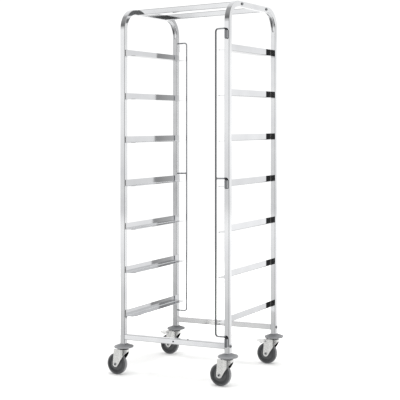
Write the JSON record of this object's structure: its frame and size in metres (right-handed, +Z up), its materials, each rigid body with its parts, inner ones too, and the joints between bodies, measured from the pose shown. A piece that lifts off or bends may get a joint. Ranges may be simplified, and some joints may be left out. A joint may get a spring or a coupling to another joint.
{
  "type": "dishwasher rack trolley",
  "caption": "Tall open trolley of bent square tube on castors, with pairs of runners for dishwasher baskets and swinging wire stop bars.",
  "frame": {"origin": "on the floor, under the middle of the frame's plan", "axes": "+Z up, +X from the left arch to the right arch, -Y the front, where the first stop bar hangs"},
  "size_m": [0.672, 0.57, 1.695],
  "materials": {
    "frame_tube": "polished stainless steel tube",
    "runner_sheet": "polished stainless steel sheet",
    "stop_wire": "bright drawn stainless steel wire",
    "hinge_barrel": "turned stainless steel",
    "bar_bolt": "dark stainless socket button-head screw",
    "inner_plug": "plain aluminium, out of sight",
    "swivel_steel": "dark zinc-plated steel",
    "bumper_plastic": "matt mid-grey moulded plastic",
    "fork_zinc": "bright zinc-plated pressed steel",
    "axle_steel": "zinc-plated steel",
    "hub_plastic": "matt dark grey moulded plastic",
    "tyre_rubber": "matt grey non-marking rubber",
    "pedal_zinc": "bright zinc-plated pressed steel",
    "shoe_rubber": "matt black rubber"
  },
  "bodies": {
    "frame": {"bar_bolts": "bar_bolt", "bar_inserts": "inner_plug", "castor_stems": "swivel_steel", "front_bottom_bar": "frame_tube", "front_left_bumper": "bumper_plastic", "front_right_bumper": "bumper_plastic", "front_stop_barrels": "hinge_barrel", "front_top_bar": "frame_tube", "left_arch": "frame_tube", "left_runner_1": "runner_sheet", "left_runner_2": "runner_sheet", "left_runner_3": "runner_sheet", "left_runner_4": "runner_sheet", "left_runner_5": "runner_sheet", "left_runner_6": "runner_sheet", "left_runner_7": "runner_sheet", "leg_plugs": "inner_plug", "rear_bottom_bar": "frame_tube", "rear_left_bumper": "bumper_plastic", "rear_right_bumper": "bumper_plastic", "rear_stop_barrels": "hinge_barrel", "rear_top_bar": "frame_tube", "right_arch": "frame_tube", "right_runner_1": "runner_sheet", "right_runner_2": "runner_sheet", "right_runner_3": "runner_sheet", "right_runner_4": "runner_sheet", "right_runner_5": "runner_sheet", "right_runner_6": "runner_sheet", "right_runner_7": "runner_sheet", "swivel_races": "swivel_steel"},
    "front_stop": {"front_stop_bar": "stop_wire"},
    "rear_stop": {"rear_stop_bar": "stop_wire"},
    "front_left_swivel": {"front_left_fork": "fork_zinc", "front_left_axle_bolt": "axle_steel", "front_left_axle_sleeve": "axle_steel"},
    "front_left_wheel": {"front_left_hub": "hub_plastic", "front_left_tyre": "tyre_rubber"},
    "front_right_swivel": {"front_right_fork": "fork_zinc", "front_right_axle_bolt": "axle_steel", "front_right_axle_sleeve": "axle_steel"},
    "front_right_wheel": {"front_right_hub": "hub_plastic", "front_right_tyre": "tyre_rubber"},
    "rear_left_brake": {"rear_left_brake_pedal": "pedal_zinc", "rear_left_brake_shoe": "shoe_rubber"},
    "rear_left_swivel": {"rear_left_fork": "fork_zinc", "rear_left_axle_bolt": "axle_steel", "rear_left_axle_sleeve": "axle_steel", "rear_left_brake_pin": "axle_steel"},
    "rear_left_wheel": {"rear_left_hub": "hub_plastic", "rear_left_tyre": "tyre_rubber"},
    "rear_right_brake": {"rear_right_brake_pedal": "pedal_zinc", "rear_right_brake_shoe": "shoe_rubber"},
    "rear_right_swivel": {"rear_right_fork": "fork_zinc", "rear_right_axle_bolt": "axle_steel", "rear_right_axle_sleeve": "axle_steel", "rear_right_brake_pin": "axle_steel"},
    "rear_right_wheel": {"rear_right_hub": "hub_plastic", "rear_right_tyre": "tyre_rubber"}
  },
  "joints": [
    {"name": "front_stop_swing", "type": "hinge", "parent": "frame", "child": "front_stop", "pos_m": [0.2705, -0.26, 0.91], "axis": [0, 0, 1], "range_deg": [0, 180]},
    {"name": "rear_stop_swing", "type": "hinge", "parent": "frame", "child": "rear_stop", "pos_m": [-0.2705, 0.26, 0.91], "axis": [0, 0, 1], "range_deg": [0, 180]},
    {"name": "front_left_swivel_turn", "type": "hinge", "parent": "frame", "child": "front_left_swivel", "pos_m": [-0.2705, -0.24, 0.12], "axis": [0, 0, 1], "continuous": true},
    {"name": "front_left_wheel_roll", "type": "hinge", "parent": "front_left_swivel", "child": "front_left_wheel", "pos_m": [-0.3065, -0.24, 0.05], "axis": [0, 1, 0], "continuous": true},
    {"name": "front_right_swivel_turn", "type": "hinge", "parent": "frame", "child": "front_right_swivel", "pos_m": [0.2705, -0.24, 0.12], "axis": [0, 0, 1], "continuous": true},
    {"name": "front_right_wheel_roll", "type": "hinge", "parent": "front_right_swivel", "child": "front_right_wheel", "pos_m": [0.2345, -0.24, 0.05], "axis": [0, 1, 0], "continuous": true},
    {"name": "rear_left_swivel_turn", "type": "hinge", "parent": "frame", "child": "rear_left_swivel", "pos_m": [-0.2705, 0.24, 0.12], "axis": [0, 0, 1], "continuous": true},
    {"name": "rear_left_wheel_roll", "type": "hinge", "parent": "rear_left_swivel", "child": "rear_left_wheel", "pos_m": [-0.3065, 0.24, 0.05], "axis": [0, 1, 0], "continuous": true},
    {"name": "rear_left_brake_press", "type": "hinge", "parent": "rear_left_swivel", "child": "rear_left_brake", "pos_m": [-0.3085, 0.24, 0.109], "axis": [0, -1, 0], "range_deg": [0, 9]},
    {"name": "rear_right_swivel_turn", "type": "hinge", "parent": "frame", "child": "rear_right_swivel", "pos_m": [0.2705, 0.24, 0.12], "axis": [0, 0, 1], "continuous": true},
    {"name": "rear_right_wheel_roll", "type": "hinge", "parent": "rear_right_swivel", "child": "rear_right_wheel", "pos_m": [0.2345, 0.24, 0.05], "axis": [0, 1, 0], "continuous": true},
    {"name": "rear_right_brake_press", "type": "hinge", "parent": "rear_right_swivel", "child": "rear_right_brake", "pos_m": [0.2325, 0.24, 0.109], "axis": [0, -1, 0], "range_deg": [0, 9]}
  ]
}
